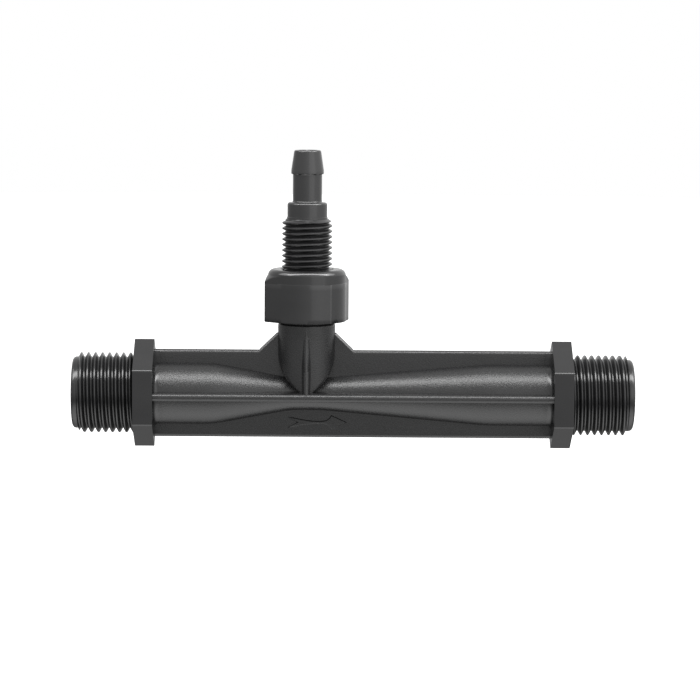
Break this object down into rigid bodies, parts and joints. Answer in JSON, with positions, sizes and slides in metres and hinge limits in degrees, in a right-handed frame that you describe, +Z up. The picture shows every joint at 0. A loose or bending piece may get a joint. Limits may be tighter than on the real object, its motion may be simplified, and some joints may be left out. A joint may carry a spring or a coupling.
{
  "type": "venturi fertilizer injector",
  "caption": "Inline venturi injector: a ribbed plastic tube with threaded pipe ends and a barbed suction nozzle held by a union nut over a check ball.",
  "frame": {"origin": "on the flow axis at the outer face of the inlet hexagon, where the pipe socket stops", "axes": "+X along the flow, from the inlet to the outlet; +Z up the suction port; +Y to the back"},
  "size_m": [0.145, 0.0244, 0.0771],
  "materials": {
    "body_plastic": "satin black moulding with a fine grain",
    "nut_plastic": "satin black moulding",
    "nozzle_plastic": "satin black moulding",
    "gasket_rubber": "dull black rubber",
    "ball_plastic": "smooth ivory plastic"
  },
  "bodies": {
    "injector": {"injector_body": "body_plastic", "union_nut": "nut_plastic", "barb_nozzle": "nozzle_plastic", "seat_gasket": "gasket_rubber"},
    "ball": {"check_ball": "ball_plastic"}
  },
  "joints": [
    {"name": "ball_lift", "type": "slide", "parent": "injector", "child": "ball", "axis": [0, 0, 1], "range_m": [0, 0.0047]}
  ]
}
